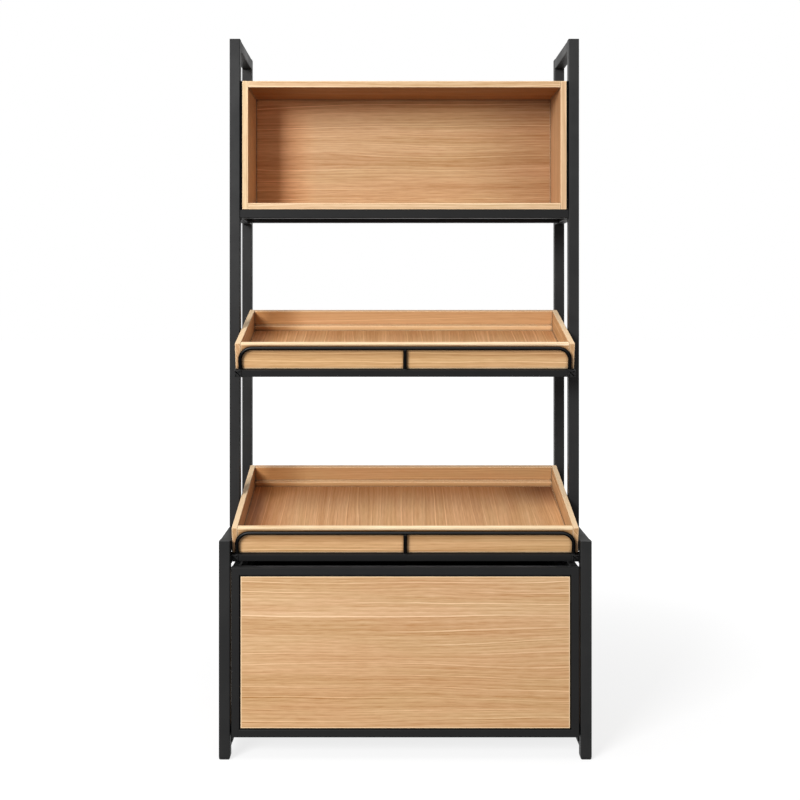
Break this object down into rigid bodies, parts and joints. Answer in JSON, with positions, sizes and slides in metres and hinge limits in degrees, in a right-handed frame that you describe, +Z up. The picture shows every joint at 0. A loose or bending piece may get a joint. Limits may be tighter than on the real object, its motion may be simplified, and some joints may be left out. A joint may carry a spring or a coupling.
{
  "type": "display rack",
  "caption": "Free-standing display rack: black tube frame, open wooden cubby on top, tilted wooden trays with round-bar guards, and a pull-out storage bin in the base.",
  "frame": {"origin": "on the floor, under the middle of the rack's footprint", "axes": "+X to the rack's right as seen from the front, -Y towards the front, +Z up"},
  "size_m": [1, 0.5, 1.98],
  "materials": {
    "black_steel": "satin black powder coat with a fine texture",
    "light_wood": "light oak face with a clear matt lacquer",
    "black_board": "matt black-faced board",
    "black_plastic": "matt moulded black",
    "nylon": "smooth off-white"
  },
  "bodies": {
    "rack": {"bottom_rail_left": "black_steel", "bottom_rail_rear": "black_steel", "bottom_rail_right": "black_steel", "crown_rail_left": "black_steel", "crown_rail_right": "black_steel", "cubby_back": "light_wood", "cubby_bottom": "light_wood", "cubby_left": "light_wood", "cubby_rail_front": "black_steel", "cubby_rail_left": "black_steel", "cubby_rail_rear": "black_steel", "cubby_rail_right": "black_steel", "cubby_right": "light_wood", "cubby_top": "light_wood", "foot_glide_front_left": "black_plastic", "foot_glide_front_right": "black_plastic", "foot_glide_rear_left": "black_plastic", "foot_glide_rear_right": "black_plastic", "leg_front_left": "black_steel", "leg_front_right": "black_steel", "leg_rear_left": "black_steel", "leg_rear_right": "black_steel", "lower_tray_back": "light_wood", "lower_tray_bottom": "light_wood", "lower_tray_frame_front": "black_steel", "lower_tray_frame_left": "black_steel", "lower_tray_frame_rear": "black_steel", "lower_tray_frame_right": "black_steel", "lower_tray_front": "light_wood", "lower_tray_guard": "black_steel", "lower_tray_side_left": "light_wood", "lower_tray_side_right": "light_wood", "mid_tray_back": "light_wood", "mid_tray_bottom": "light_wood", "mid_tray_frame_front": "black_steel", "mid_tray_frame_left": "black_steel", "mid_tray_frame_rear": "black_steel", "mid_tray_frame_right": "black_steel", "mid_tray_front": "light_wood", "mid_tray_guard": "black_steel", "mid_tray_side_left": "light_wood", "mid_tray_side_right": "light_wood", "post_front_left": "black_steel", "post_front_right": "black_steel", "post_rear_left": "black_steel", "post_rear_right": "black_steel", "top_rail_left": "black_steel", "top_rail_rear": "black_steel", "top_rail_right": "black_steel"},
    "bin": {"bin_back_panel": "black_board", "bin_bottom": "black_board", "bin_front_frame": "black_steel", "bin_front_panel": "light_wood", "bin_glide_strip_left": "nylon", "bin_glide_strip_right": "nylon", "bin_rear_rail": "black_steel", "bin_side_frame_left": "black_steel", "bin_side_frame_right": "black_steel", "bin_side_panel_left": "light_wood", "bin_side_panel_right": "light_wood"}
  },
  "joints": [
    {"name": "bin_slide", "type": "slide", "parent": "rack", "child": "bin", "axis": [0, -1, 0], "range_m": [0, 0.3]}
  ]
}
